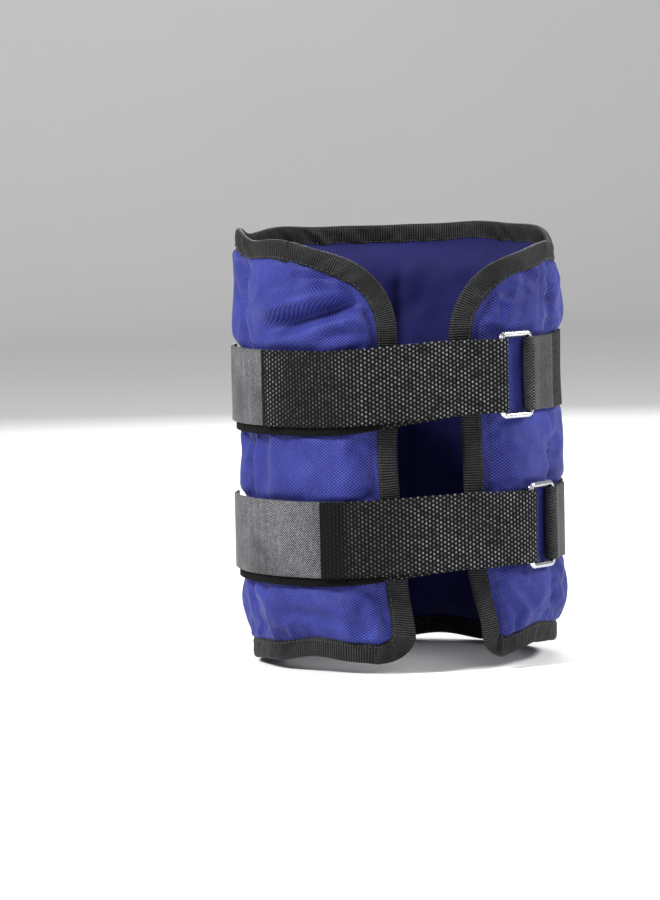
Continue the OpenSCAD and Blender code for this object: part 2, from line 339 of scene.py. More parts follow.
def wave(n, along, across, period, angle, phase=0.0):
    """0..1 stripes across the given direction, in degrees from the along axis."""
    a = math.radians(angle)
    u = n.math("MULTIPLY_ADD", along, math.cos(a) * math.tau / period,
               n.math("MULTIPLY", across, math.sin(a) * math.tau / period))
    return n.math("MULTIPLY_ADD", n.math("SINE", n.math("ADD", u, phase)), 0.5, 0.5)


def oxford_cloth(name, dark, light, period, sheen, roughness=0.62):
    """Tight plain-woven polyester with a fine crossed diagonal grain."""
    n = Nodes(name)
    along, across = n.fabric()
    up = wave(n, along, across, period, 52)
    down = wave(n, along, across, period, -52)
    grain = n.math("MULTIPLY_ADD", n.math("MULTIPLY", up, down), 0.7,
                   n.math("MULTIPLY", n.math("ADD", up, down), 0.15))
    slub = n.noise(900.0, 2.0)
    patch = n.noise(22.0, 3.0)
    worn = n.noise(75.0, 4.0, 0.6)
    tone = n.math("MULTIPLY_ADD", grain, 0.62, n.math("MULTIPLY", slub, 0.28))
    tone = n.math("ADD", tone, n.remap(patch, 0.3, 0.7, -0.10, 0.10))
    tone = n.math("ADD", tone, n.remap(worn, 0.35, 0.75, -0.05, 0.08))
    base = n.blend(n.remap(tone, 0.12, 0.88), dark, light)
    relief = n.math("MULTIPLY_ADD", slub, 0.3, grain)
    normal = n.bump(relief, 0.16, 0.55)
    rough = n.remap(patch, 0.2, 0.8, roughness - 0.06, roughness + 0.06)
    return n.finish(base, rough, normal, Sheen_Weight=sheen, Sheen_Roughness=0.35,
                    Sheen_Tint=(0.62, 0.66, 1.0, 1.0), Specular_IOR_Level=0.16)


def webbing(name, ground, knuckle_highlight, column=1.85, pitch=2.2, gloss=0.42, contrast=1.0):
    """Coarse webbing: rows of round yarn knuckles, each row half a pitch from the next. The knuckles' light colour
    is painted highlight, as yarn catching the light.
    """
    n = Nodes(name)
    along, across = n.fabric()
    u = n.math("DIVIDE", along, column)
    odd = n.math("MODULO", n.math("ABSOLUTE", n.math("FLOOR", u)), 2.0)
    v = n.math("MULTIPLY_ADD", odd, 0.5, n.math("DIVIDE", across, pitch))
    du = n.math("MULTIPLY", n.math("SUBTRACT", n.math("FRACT", u), 0.5), 2.0)
    dv = n.math("MULTIPLY", n.math("SUBTRACT", n.math("FRACT", v), 0.5), 2.0)
    far = n.math("SQRT", n.math("ADD", n.math("MULTIPLY", du, du), n.math("MULTIPLY", dv, dv)))
    dome = n.remap(far, 1.05, 0.0)
    dome = n.math("POWER", n.math("MAXIMUM", dome, 0.0), 0.75)
    uneven = n.noise(420.0, 1.0)
    patch = n.noise(30.0, 3.0)
    # painted highlight: the top of each knuckle's dome is coloured light, dimmed at random in patches
    lit = n.math("MULTIPLY", n.remap(dome, 0.46, 0.86), n.remap(uneven, 0.3, 0.7, 0.15, 1.2))
    lit = n.math("MULTIPLY", lit, n.remap(patch, 0.25, 0.75, 0.4 * contrast, contrast), clamp=True)
    # painted shade: near a tail's end the knuckles' painted highlight is taken away, where the tail lies in shade
    # by the hook tape's lap
    shade_fac = n.add("ShaderNodeAttribute", attribute_name="painted_shade").outputs["Fac"]
    lit = n.math("MULTIPLY", lit, n.math("SUBTRACT", 1.0, shade_fac))
    base = n.blend(lit, ground, knuckle_highlight)
    normal = n.bump(n.math("MULTIPLY_ADD", uneven, 0.15, dome), 0.55, 0.9)
    rough = n.remap(lit, 0.0, 1.0, gloss + 0.25, gloss)
    return n.finish(base, rough, normal, Sheen_Weight=0.0, Specular_IOR_Level=0.12)


def herringbone(name, ground, thread, column=3.2, period=1.05, gloss=0.5):
    """Fine herringbone: diagonal threads that turn back at each column."""
    n = Nodes(name)
    along, across = n.fabric()
    fold = n.math("PINGPONG", along, column)
    phase = n.math("MULTIPLY", n.math("ADD", across, n.math("MULTIPLY", fold, 1.1)),
                   math.tau / period)
    thread_up = n.math("MULTIPLY_ADD", n.math("SINE", phase), 0.5, 0.5)
    fuzz = n.noise(700.0, 2.0)
    patch = n.noise(40.0, 3.0)
    lit = n.math("MULTIPLY_ADD", thread_up, 0.6, n.math("MULTIPLY", fuzz, 0.6))
    lit = n.math("MULTIPLY", n.remap(lit, 0.42, 0.95), n.remap(patch, 0.3, 0.7, 0.40, 1.30), clamp=True)
    base = n.blend(lit, ground, thread)
    normal = n.bump(lit, 0.30, 0.9)
    return n.finish(base, gloss, normal, Sheen_Weight=0.04, Sheen_Roughness=0.4,
                    Specular_IOR_Level=0.15)


def ribbed_tape(name, ground, rib, period=1.25):
    """Grosgrain: fine ribs across the tape."""
    n = Nodes(name)
    along, across = n.fabric()
    ribs = wave(n, along, across, period, 0)
    cross = wave(n, along, across, 0.8, 90)
    fuzz = n.noise(800.0, 2.0)
    patch = n.noise(45.0, 3.0)
    relief = n.math("MULTIPLY_ADD", n.math("MULTIPLY", ribs, cross), 0.5,
                    n.math("MULTIPLY", ribs, 0.6))
    lit = n.math("MULTIPLY_ADD", relief, 0.8, n.math("MULTIPLY", fuzz, 0.45))
    lit = n.math("MULTIPLY", n.remap(lit, 0.50, 0.98), n.remap(patch, 0.3, 0.7, 0.25, 1.3), clamp=True)
    base = n.blend(lit, ground, rib)
    return n.finish(base, 0.6, n.bump(relief, 0.3, 0.8), Sheen_Weight=0.02,
                    Sheen_Roughness=0.45, Specular_IOR_Level=0.14)


def pile(name, ground, tip):
    """Matt loop pile."""
    n = Nodes(name)
    loops = n.add("ShaderNodeTexVoronoi")
    loops.inputs["Scale"].default_value = 1500.0
    n.link(n.object_point(), loops.inputs["Vector"])
    tuft = n.remap(loops.outputs["Distance"], 0.0, 0.7, 1.0, 0.0)
    cloud = n.noise(160.0, 4.0, 0.65)
    base = n.blend(n.math("MULTIPLY", tuft, cloud, clamp=True), ground, tip)
    normal = n.bump(n.math("ADD", tuft, cloud), 0.7, 1.0)
    return n.finish(base, 0.95, normal, Sheen_Weight=0.02, Sheen_Roughness=0.7,
                    Specular_IOR_Level=0.05)


def plain_weave(name, dark, light, period=0.9, roughness=0.8):
    n = Nodes(name)
    along, across = n.fabric()
    grid = n.math("MULTIPLY", wave(n, along, across, period, 0), wave(n, along, across, period, 90))
    cloud = n.noise(60.0, 4.0)
    tone = n.math("MULTIPLY_ADD", grid, 0.5, n.math("MULTIPLY", cloud, 0.5), clamp=True)
    return n.finish(n.blend(tone, dark, light), roughness, n.bump(grid, 0.12, 0.6),
                    Sheen_Weight=0.1, Specular_IOR_Level=0.2)


def sand(name):
    n = Nodes(name)
    grains = n.add("ShaderNodeTexVoronoi")
    grains.inputs["Scale"].default_value = 1600.0
    n.link(n.object_point(), grains.inputs["Vector"])
    tone = n.remap(grains.outputs["Color"], 0.0, 1.0)
    base = n.blend(tone, (0.03, 0.026, 0.024), (0.16, 0.14, 0.125))
    return n.finish(base, 0.7, n.bump(grains.outputs["Distance"], 0.5, 1.0), Metallic=0.3)


def nickel(name):
    """Bright plated wire with faint rubbing marks."""
    n = Nodes(name)
    smear = n.noise(260.0, 4.0, 0.6)
    rub = n.noise(90.0, 2.0, 0.5, stretch=(1.0, 1.0, 14.0))
    rough = n.remap(n.math("ADD", smear, rub), 0.7, 1.4, 0.16, 0.36)
    base = n.blend(n.remap(rub, 0.35, 0.7), (0.62, 0.63, 0.66), (0.40, 0.41, 0.44))
    return n.finish(base, rough, n.bump(smear, 0.03, 0.25), Metallic=1.0)


def thread(name, dark, light):
    n = Nodes(name)
    twist = n.noise(1400.0, 1.0, 0.5)
    return n.finish(n.blend(twist, dark, light), 0.6, n.bump(twist, 0.1, 0.6),
                    Sheen_Weight=0.2, Specular_IOR_Level=0.35)


MAT = {
    "cover": oxford_cloth("cover_cloth", (0.007, 0.0075, 0.085), (0.061, 0.078, 0.37), 1.2, 0.10),
    "lining": oxford_cloth("lining_cloth", (0.003, 0.003, 0.036), (0.016, 0.017, 0.13), 1.1, 0.03,
                           0.75),
    # the knuckle colours are painted highlights on the black webbing; the band's is dimmer
    "webbing": webbing("strap_webbing", (0.0005, 0.0005, 0.0006), (0.30, 0.30, 0.31)),
    "band": webbing("band_webbing", (0.0005, 0.0005, 0.0006), (0.17, 0.17, 0.175), contrast=0.9),
    "keeper": herringbone("keeper_webbing", (0.0006, 0.0006, 0.0006), (0.115, 0.115, 0.117), 2.4, 1.5),
    "hook": herringbone("hook_tape_back", (0.0012, 0.0012, 0.0015), (0.235, 0.235, 0.25), 3.4, 1.3),
    "loop": pile("loop_pile", (0.0006, 0.0006, 0.0008), (0.006, 0.006, 0.0065)),
    "binding": ribbed_tape("binding_grosgrain", (0.0005, 0.0005, 0.0006), (0.050, 0.050, 0.053)),
    "pouch": plain_weave("pouch_cotton", (0.45, 0.44, 0.40), (0.72, 0.70, 0.64)),
    "sand": sand("iron_sand"),
    "ring": nickel("nickel_plate"),
    "blue_thread": thread("seam_thread", (0.001, 0.001, 0.012), (0.008, 0.008, 0.05)),
    "black_thread": thread("strap_thread", (0.002, 0.002, 0.002), (0.02, 0.02, 0.022)),
}


# ---------------------------------------------------------------- outline of the wrap

def edge_distance(angle, z):
    """How far a place on the wrap lies inside its edge."""
    x = np.where(np.abs(wrap_angle(angle)) < 65, SEAM_R * np.abs(np.sin(np.radians(angle))), 1e3)
    z = np.broadcast_to(z, x.shape)
    r = np.where(z > 0, TOP_CORNER, BOTTOM_CORNER)
    ends = CUFF_H / 2 - np.abs(z)
    in_corner = (x < GAP_HALF + r) & (ends < r)
    round_end = r - np.hypot(GAP_HALF + r - x, r - ends)
    return np.where(in_corner, round_end, np.minimum(x - GAP_HALF, ends))


def wrap_angle(angle):
    return (np.asarray(angle, float) + 180) % 360 - 180


def channel_distance(angle):
    """Distance round the cuff to the nearest seam between two pockets."""
    a = np.asarray(angle, float) % 360
    return np.min([np.abs(a - c) for c in CHANNELS], axis=0) * math.pi / 180 * WAIST_R


def strap_slant(angle):
    """0 at the rings, 1 on the left panel, and back to 0 behind the leg."""
    a = wrap_angle(angle)
    return (1 - smooth((a + 45) / 64)) * smooth((a + 180) / 60)


def beside_strap(angle, z):
    """Distance from the nearest strap's edge; negative under the strap."""
    reach = []
    for level in ("upper", "lower"):
        slant = strap_slant(angle)
        top = SIDE_Z[level] - TAIL_DROP[level] * slant + WEB_W / 2
        low = SIDE_Z[level] - BAND_DROP[level] * slant - WEB_W / 2
        reach.append(np.maximum(z - top, low - z))
    return np.minimum(*reach)


def under_strap(angle, z, margin):
    """1 where a strap presses on the wall, falling to 0 over margin beside it."""
    return smooth(1 - (beside_strap(angle, z) + margin * 0.35) / margin)


def swell(angle, z):
    """How far the filled wall stands out over the strap line."""
    off = np.clip(beside_strap(angle, z), 0, None)
    middle = 2.8 * np.sin(np.clip(off / 19, 0, 1) * math.pi / 2) ** 0.7
    end = CUFF_H / 2 - SEAM_IN - STRAP_Z - WEB_W / 2
    ends = 5.0 * np.sin(np.clip(off / end, 0, 1) * math.pi) ** 0.6
    return np.where(np.abs(z) < STRAP_Z, middle, ends)


def rim_seam_in(z):
    """Distance from the edge to the closing seam: at the rims it hides beside the binding."""
    return SEAM_IN - 2.6 * smooth((np.abs(z) - 78) / 20)


# ---------------------------------------------------------------- wall of the cuff

GRID = 2.2                  # spacing of the cover's grid
COVER_T = 0.8


def sewn_radius(angle, z):
    """Radius at which cover and lining meet along the edges."""
    front = smooth(1 - (np.abs(wrap_angle(angle)) - 12) / 28)
    top = smooth((z - 60) / 40)
    low = smooth((-z - 60) / 40)
    return SEAM_R - 3.2 * front + 2.4 * top * (1 - 0.6 * front) - 0.8 * low


def pocket_rise(angle, z, edge_width, channel_width):
    """0 on every seam, 1 in the full part of a pocket: a quarter-round edge."""
    inside = np.clip((edge_distance(angle, z) - rim_seam_in(z)) / edge_width, 0, 1)
    beside = np.clip(channel_distance(angle) / channel_width, 0, 1)
    edge = np.sqrt(1 - (1 - inside) ** 2)
    channel = np.sqrt(1 - (1 - beside) ** 2)
    return edge, channel


def lean_side(angle, z):
    """1 where the wall is flattest: the left side between and below the straps."""
    return np.exp(-((wrap_angle(angle) + 95) / 40) ** 2) * smooth((24 - z) / 20)


def cover_start_radius(angle, z):
    edge, channel = pocket_rise(angle, z, 14, 12)
    low = sewn_radius(angle, z) + COVER_T
    full = WAIST_R - 1.0 + 0.35 * swell(angle, z) - 1.2 * lean_side(angle, z)
    valley = 4.6 * (1 - 0.45 * under_strap(angle, z, 10))
    return low + (full - low) * edge - valley * (1 - channel) * edge


def through(table, at, period=None):
    """A smooth line through (place, value) pairs."""
    where, value = np.array(table, float).T
    fine = np.linspace(where[0], where[-1], 200)
    line = np.interp(fine, where, value)
    kernel = np.hanning(17) / np.hanning(17).sum()
    line = np.convolve(np.pad(line, 8, mode="edge"), kernel, mode="valid")
    return np.interp(at, fine, line, period=period)


# how the worn cuff's rims rise and fall round the leg: (angle, millimetres)
TOP_RIM = [(-180, 3.0), (-130, 2.0), (-100, 2.4), (-78, 1.0), (-55, -3.0), (-35, -3.0), (-20, -2.0),
           (0, 0.0), (22, -1.0), (34, -4.0), (52, -6.0), (78, -4.5), (104, 1.5), (125, 3.5),
           (180, 3.0)]
BOTTOM_RIM = [(-180, 0.0), (-100, 0.5), (-75, 3.0), (-50, 6.0), (-30, 5.5), (-14, 0.5), (0, 2.0),
              (25, 4.5), (45, 10.0), (62, 9.0), (90, 3.0), (120, 0.5), (180, 0.0)]
# how far each front edge swings towards +X: (height, degrees)
LEFT_EDGE = [(-107, 2.0), (-92, 5.0), (-70, 2.5), (-40, 0.0), (0, -1.2), (40, 0.0), (107, -1.0)]
RIGHT_EDGE = [(-107, 5.0), (-88, 6.5), (-56, 1.5), (0, 0.6), (20, 0.0), (58, -4.6), (84, -2.0),
              (107, 0.0)]


def warp(points):
    """The shape that the worn cuff takes; every sewn piece shares it, so they stay joined."""
    p = np.asarray(points, float)
    x, y, z = p[..., 0], p[..., 1], p[..., 2]
    angle = np.degrees(np.arctan2(x, -y))
    r = np.hypot(x, y)
    unit_x, unit_y = x / r * WAIST_R, y / r * WAIST_R
    free = smooth((np.abs(z) - STRAP_Z - 22) / 30)
    out = free * (1.1 * np.sin(np.radians(2 * angle + 40))
                  + 0.6 * WARP_A(unit_x, unit_y, z * 0.5))
    out = out + 2.0 * np.exp(-((angle + 85) / 45) ** 2) * smooth((z - 60) / 40)
    corner_curl = smooth((-z - 74) / 24)
    out = out + corner_curl * (2.6 * np.exp(-((angle + 14) / 12) ** 2)
                               + 3.4 * np.exp(-((angle - 20) / 13) ** 2))
    up = free * 0.9 * WARP_B(unit_x, unit_y, z * 0.2)
    up = up + smooth((z - 56) / 44) * through(TOP_RIM, angle)
    up = up + smooth((-z - 58) / 40) * through(BOTTOM_RIM, angle)
    left = np.exp(-(np.clip(-angle - 12, 0, None) / 13) ** 2) * (angle < 0)
    right = np.exp(-(np.clip(angle - 12, 0, None) / 15) ** 2) * (angle >= 0)
    turn = left * through(LEFT_EDGE, z) + right * through(RIGHT_EDGE, z)
    return round_the_cuff(r + out, angle + turn, z + up)


WARP_A = Waves(11, 44, dims=3)
WARP_B = Waves(12, 40, dims=3)


def inflate(obj, pinned, pressure, slack, frames, cap_mm):
    """Cloth simulation under pressure; returns the new vertex places in millimetres."""
    count = len(obj.data.vertices)
    start = np.zeros(count * 3)
    obj.data.vertices.foreach_get("co", start)
    start = start.reshape(-1, 3) / MM
    group = obj.vertex_groups.new(name="pinned")
    for weight in (1.0, 0.5):
        members = np.flatnonzero(np.isclose(pinned, weight))
        group.add([int(i) for i in members], weight, "REPLACE")
    cloth = obj.modifiers.new("Cloth", "CLOTH")
    s = cloth.settings
    s.quality = 6
    s.mass = 0.0004
    s.air_damping = 2.0
    s.tension_stiffness = s.compression_stiffness = 12.0
    s.shear_stiffness = 5.0
    s.bending_stiffness = 0.002
    s.tension_damping = s.compression_damping = s.shear_damping = 2.0
    s.use_pressure = True
    s.uniform_pressure_force = pressure
    s.shrink_min = s.shrink_max = -slack
    s.vertex_group_mass = group.name
    s.effector_weights.gravity = 0
    cloth.collision_settings.use_collision = False
    scene = bpy.context.scene
    cloth.point_cache.frame_start, cloth.point_cache.frame_end = 1, frames
    for f in range(1, frames + 1):
        scene.frame_set(f)
    final = np.zeros(count * 3)
    posed = obj.evaluated_get(bpy.context.evaluated_depsgraph_get())
    posed.data.vertices.foreach_get("co", final)
    final = final.reshape(-1, 3) / MM
    obj.modifiers.remove(cloth)
    obj.vertex_groups.remove(group)
    scene.frame_set(1)
    move = final - start
    size = np.linalg.norm(move, axis=1)
    scale = np.where(size > 1e-9, cap_mm * np.tanh(size / cap_mm) / np.maximum(size, 1e-9), 1)
    return start + move * scale[:, None]


def set_places(obj, verts_mm):
    obj.data.vertices.foreach_set("co", (np.asarray(verts_mm) * MM).ravel())
    obj.data.update()


class Wall:
    """The cover's grid: angle and height of every point, and where the point ends up."""

    def __init__(self):
        edge = math.degrees(math.asin(GAP_HALF / SEAM_R))
        arc = math.radians(360 - 2 * edge) * WAIST_R
        self.angle = np.linspace(edge, 360 - edge, int(arc / GRID) + 1)
        top = CUFF_H / 2 - 1.2
        self.z = np.linspace(-top, top, int(2 * top / GRID) + 1)
        self.A, self.Z = np.meshgrid(self.angle, self.z, indexing="ij")
        self.places = None

    def at(self, angle, z):
        """Finished surface point at a place on the cloth."""
        i = np.interp(angle, self.angle, np.arange(len(self.angle)))
        j = np.interp(z, self.z, np.arange(len(self.z)))
        i0 = np.clip(i.astype(int), 0, len(self.angle) - 2)
        j0 = np.clip(j.astype(int), 0, len(self.z) - 2)
        u, v = (i - i0)[..., None], (j - j0)[..., None]
        p = self.places
        return ((1 - u) * (1 - v) * p[i0, j0] + u * (1 - v) * p[i0 + 1, j0]
                + (1 - u) * v * p[i0, j0 + 1] + u * v * p[i0 + 1, j0 + 1])


def make_cover():
    wall = Wall()
    A, Z = wall.A, wall.Z
    start = round_the_cuff(cover_start_radius(A, Z), A, Z)
    inside = edge_distance(A, Z)
    keep = inside > 1.0
    faces = []
    rows = len(wall.z)
    for i in range(len(wall.angle) - 1):
        for j in range(rows - 1):
            if keep[i, j] and keep[i + 1, j] and keep[i, j + 1] and keep[i + 1, j + 1]:
                a = i * rows + j
                faces.append((a, a + rows, a + rows + 1, a + 1))
    used = np.zeros(A.size, bool)
    used[np.unique(faces)] = True
    index = np.cumsum(used) - 1
    faces = [tuple(int(index[v]) for v in f) for f in faces]
    fabric = np.stack([np.radians(A) * WAIST_R, Z], -1).reshape(-1, 2)[used]
    cover = make_mesh("padded_cover", start.reshape(-1, 3)[used], faces, fabric, MAT["cover"])

    pinned = np.where((inside < rim_seam_in(Z) + 0.6) | (channel_distance(A) < 1.2)
                      | (beside_strap(A, Z) < -2.5), 1.0, 0.0)
    places = start.copy().reshape(-1, 3)
    places[used] = inflate(cover, pinned.reshape(-1)[used], 4.0, 0.07, 24, 3.4)
    places = places.reshape(*A.shape, 3)
    places = places + detail(A, Z, inside)
    places = press_under_straps(A, Z, places)
    wall.places = warp(places)
    set_places(cover, wall.places.reshape(-1, 3)[used])
    finer = cover.modifiers.new("Finer", "SUBSURF")
    finer.levels = finer.render_levels = 1
    thick = cover.modifiers.new("Cloth thickness", "SOLIDIFY")
    thick.thickness, thick.offset = COVER_T * MM, -1
    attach(cover, "cuff")
    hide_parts("outer_cover")
    return cover, wall


def detail(A, Z, inside):
    """Puckers beside the seams and straps, and the long creases, as outward moves."""
    along = np.radians(A) * WAIST_R
    edge, _ = pocket_rise(A, Z, 14, 12)
    press = under_strap(A, Z, 8)
    free = edge * (1 - press)
    rim = np.exp(-np.clip(CUFF_H / 2 - np.abs(Z) - 10.5, 0, 99) / 9) * smooth((inside - 9) / 4)
    side = np.exp(-np.clip(SEAM_R * np.abs(np.radians(wrap_angle(A))) - GAP_HALF - SEAM_IN,
                           0, 99) / 8)
    near_right_top = smooth(1 - np.abs(A - 52) / 40) * smooth(Z / 40)
    rim_gather = (0.75 + 1.1 * near_right_top) * rim * GATHER(along, Z * 0.12)
    side_gather = 0.6 * side * GATHER(Z * 1.1, along * 0.12)
    seam_gather = 0.7 * np.exp(-channel_distance(A) / 7) * GATHER(Z * 1.2 + 40, along * 0.1)
    strap_gather = 0.8 * under_strap(A, Z, 30) * (1 - press) * FOLDS(along, Z * 0.25)
    soft = 0.65 * LUMPS(along, Z)
    move = free * (side_gather + seam_gather + strap_gather + soft) + rim_gather * (1 - press)
    for a0, z0, a1, z1, depth, width in CREASES:
        move = move + free * crease(A, Z, a0, z0, a1, z1, depth, width)
    a = np.radians(A)
    return move[..., None] * np.stack([np.sin(a), -np.cos(a), np.zeros_like(a)], -1)


def crease(A, Z, a0, z0, a1, z1, depth, width):
    """A groove from one place to another with a soft ridge on each side."""
    k = math.radians(1) * WAIST_R
    px, pz = (wrap_angle(A) - a0) * k, Z - z0
    dx, dz = (a1 - a0) * k, z1 - z0
    length = math.hypot(dx, dz)
    t = (px * dx + pz * dz) / length ** 2
    off = (px * dz - pz * dx) / length
    ends = smooth((t + 0.15) / 0.35) * smooth((1.15 - t) / 0.35)
    x = off / width
    return ends * depth * (-np.exp(-x * x) + 0.45 * np.exp(-((np.abs(x) - 2.0) ** 2) / 0.9))


GATHER = Waves(21, 8.5, 18)
FOLDS = Waves(22, 15, 16)
LUMPS = Waves(23, 30, 16)
# (angle, height) of both ends, depth, half width
CREASES = [
    (-64.0, 63.0, -19.0, 81.0, 8.4, 4.4),
    (-62.0, 71.0, -22.0, 89.0, -2.6, 4.6),
    (-42.0, 60.0, -18.0, 66.0, 1.8, 3.0),
    (-74.0, -14.0, -38.0, 2.0, 1.3, 4.5),
    (-30.0, 10.0, -18.0, -6.0, 1.2, 3.2),
    (36.0, 70.0, 40.0, 92.0, 1.5, 2.2),
    (46.0, 66.0, 51.0, 94.0, 1.9, 2.4),
    (56.0, 72.0, 64.0, 94.0, 1.6, 2.4),
    (28.0, 64.0, 30.0, 84.0, 1.3, 2.2),
    (40.0, 14.0, 58.0, -4.0, 1.6, 3.5),
    (26.0, 6.0, 36.0, -10.0, 1.0, 3.0),
    (-62.0, -80.0, -26.0, -88.0, 1.6, 3.6),
    (-36.0, -66.0, -18.0, -86.0, 1.2, 3.2),
    (30.0, -64.0, 40.0, -84.0, 1.5, 3.2),
    (120.0, 72.0, 150.0, 86.0, 2.2, 4.0),
    (196.0, -72.0, 216.0, -86.0, 2.0, 4.0),
    (150.0, 10.0, 172.0, -8.0, 1.5, 4.5),
    (186.0, 74.0, 212.0, 84.0, 1.8, 4.2),
    (90.0, -76.0, 106.0, -88.0, 1.6, 3.6),
    (250.0, 70.0, 264.0, 88.0, 2.0, 3.4),
]


def press_under_straps(A, Z, places):
    """The wall can't come through the straps, the rings or the keepers."""
    x, y, z = places[..., 0], places[..., 1], places[..., 2]
    r = np.hypot(x, y)
    limit = WAIST_R - 0.15 + np.clip(beside_strap(A, Z) - 0.5, 0, None) * 0.9
    for level in ("upper", "lower"):
        middle = np.mean([bar(level, "ring_pivot")[1], bar(level, "strap_peel")[1]])
        beside = smooth(1.8 - np.abs(wrap_angle(A) - middle) / 11)
        height = np.abs(z - SIDE_Z[level])
        ring_limit = WAIST_R + 0.2 + np.clip(height - 22.5, 0, None) * 1.2
        near = (height < 27) & (beside > 0)
        limit = np.where(near, np.minimum(limit, ring_limit + 40 * (1 - beside)), limit)
    scale = np.minimum(r, limit) / r
    return np.stack([x * scale, y * scale, z], -1)


def make_lining(wall):
    angle = np.linspace(wall.angle[0], wall.angle[-1], int(len(wall.angle) * 0.8))
    z = np.linspace(wall.z[0], wall.z[-1], int(len(wall.z) * 0.8))
    A, Z = np.meshgrid(angle, z, indexing="ij")
    inside = edge_distance(A, Z)
    sewn = sewn_radius(A, Z) - 0.9
    t = np.clip((inside - rim_seam_in(Z)) / 15, 0, 1)
    drop = np.sqrt(1 - (1 - t) ** 2)
    r = sewn + (BORE_R + 0.6 - sewn) * drop
    r = r + drop * 2.4 * np.exp(-(channel_distance(A) / 5) ** 2)
    r = r + drop * (0.35 * LUMPS(np.radians(A) * BORE_R, Z + 300) + 0.25 * FOLDS(Z, A))
    r = np.maximum(r, BORE_R + 0.25)
    places = warp(round_the_cuff(r, A, Z))
    keep = inside > LINING_INSET
    rows = len(z)
    faces = [(i * rows + j, i * rows + j + 1, (i + 1) * rows + j + 1, (i + 1) * rows + j)
             for i in range(len(angle) - 1) for j in range(rows - 1)
             if keep[i:i + 2, j:j + 2].all()]
    used = np.zeros(A.size, bool)
    used[np.unique(faces)] = True
    index = np.cumsum(used) - 1
    faces = [tuple(int(index[v]) for v in f) for f in faces]
    fabric = np.stack([np.radians(A) * BORE_R, Z], -1).reshape(-1, 2)[used]
    lining = make_mesh("inner_lining_cloth", places.reshape(-1, 3)[used], faces, fabric,
                       MAT["lining"])
    finer = lining.modifiers.new("Finer", "SUBSURF")
    finer.levels = finer.render_levels = 1
    thick = lining.modifiers.new("Cloth thickness", "SOLIDIFY")
    thick.thickness, thick.offset = 0.5 * MM, -1
    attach(lining, "cuff")
    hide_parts("inner_lining")
    return lining


# ---------------------------------------------------------------- bindings

# (distance in from the edge, height over the sewn radius) round the folded tape
TAPE_SECTION = np.array([
    (10.0, 1.35), (9.5, 1.75), (7.5, 1.95), (5.0, 2.0), (2.8, 1.98), (1.2, 1.75), (0.35, 1.25),
    (0.0, 0.5), (-0.1, -0.2), (0.0, -0.9), (0.4, -1.6), (1.4, -2.05), (3.0, -2.2), (5.0, -2.25),
    (7.5, -2.2), (9.5, -2.05), (10.0, -1.65), (9.6, -1.35), (5.0, -1.35), (1.5, -1.25),
    (0.9, -0.2), (1.5, 0.9), (5.0, 1.05), (9.6, 1.05),
])


def front_edge(side, inset):
    """(angle, height) along a front edge and its two rounded corners, inset into the panel."""
    low, high = CUFF_H / 2 - BOTTOM_CORNER, CUFF_H / 2 - TOP_CORNER
    bottom = np.radians(np.linspace(90, 0, 22))
    top = np.radians(np.linspace(0, 90, 44))
    straight = np.linspace(-low, high, 62)[1:-1]
    x = np.r_[GAP_HALF + BOTTOM_CORNER - (BOTTOM_CORNER - inset) * np.cos(bottom),
              np.full(len(straight), GAP_HALF + inset),
              GAP_HALF + TOP_CORNER - (TOP_CORNER - inset) * np.cos(top)]
    z = np.r_[-low - (BOTTOM_CORNER - inset) * np.sin(bottom), straight,
              high + (TOP_CORNER - inset) * np.sin(top)]
    return side * np.degrees(np.arcsin(np.clip(x / SEAM_R, -1, 1))), z


def rim_edge(end, inset, overlap):
    """(angle, height) along the top or bottom edge, from the right corner round the back."""
    r = TOP_CORNER if end > 0 else BOTTOM_CORNER
    first = math.degrees(math.asin((GAP_HALF + r) / SEAM_R)) - overlap
    angle = np.linspace(first, 360 - first, 260)
    return angle, np.full(len(angle), end * (CUFF_H / 2 - inset))


def binding(name, node, edge, seed, lift=0.0):
    """Tape folded over an edge; edge(inset) gives (angle, height) arrays."""
    base_angle, base_z = edge(0.0)
    base = round_the_cuff(SEAM_R, base_angle, base_z)
    s = np.r_[0, np.cumsum(np.linalg.norm(np.diff(base, axis=0), axis=1))]
    gather = Waves(seed, 13, 10, 1)
    drift = Waves(seed + 1, 45, 8, 1)
    crumple = Waves(seed + 2, 7, 14)
    rings, around = [], 0.0
    across = []
    for k, (inset, height) in enumerate(TAPE_SECTION):
        shift = 0.7 * drift(s) * min(1.0, max(0.0, inset / 6))
        angle, z = edge(float(inset))
        ripple = (0.30 * gather(s + 2 * k) + 0.16 * crumple(s, 3.0 * k)) * smooth(inset / 4)
        face = 1 if height > 0 else -1
        r = sewn_radius(angle, z) + height + face * (ripple + lift)
        rings.append(round_the_cuff(r, angle, z + shift * 0.5))
        if k:
            around += float(np.hypot(*(TAPE_SECTION[k] - TAPE_SECTION[k - 1])))
        across.append(around)
    rings = warp(np.stack(rings, 1))
    fabric = np.stack(np.broadcast_arrays(s[:, None], np.array(across)[None, :]), -1)
    tape = sweep(name, rings, fabric, MAT["binding"])
    finer = tape.modifiers.new("Finer", "SUBSURF")
    finer.levels = finer.render_levels = 1
    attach(tape, "cuff")
    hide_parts(node)
    return tape


def make_bindings():
    binding("top_binding_tape", "top_binding", lambda i: rim_edge(1, i, 1.0), 31)
    binding("bottom_binding_tape", "bottom_binding", lambda i: rim_edge(-1, i, 3.0), 33)
    binding("left_edge_binding_tape", "left_edge_binding", lambda i: front_edge(-1, i), 35,
            SIDE_TAPE_LIFT)
    binding("right_edge_binding_tape", "right_edge_binding", lambda i: front_edge(1, i), 37,
            SIDE_TAPE_LIFT)


# ---------------------------------------------------------------- straps

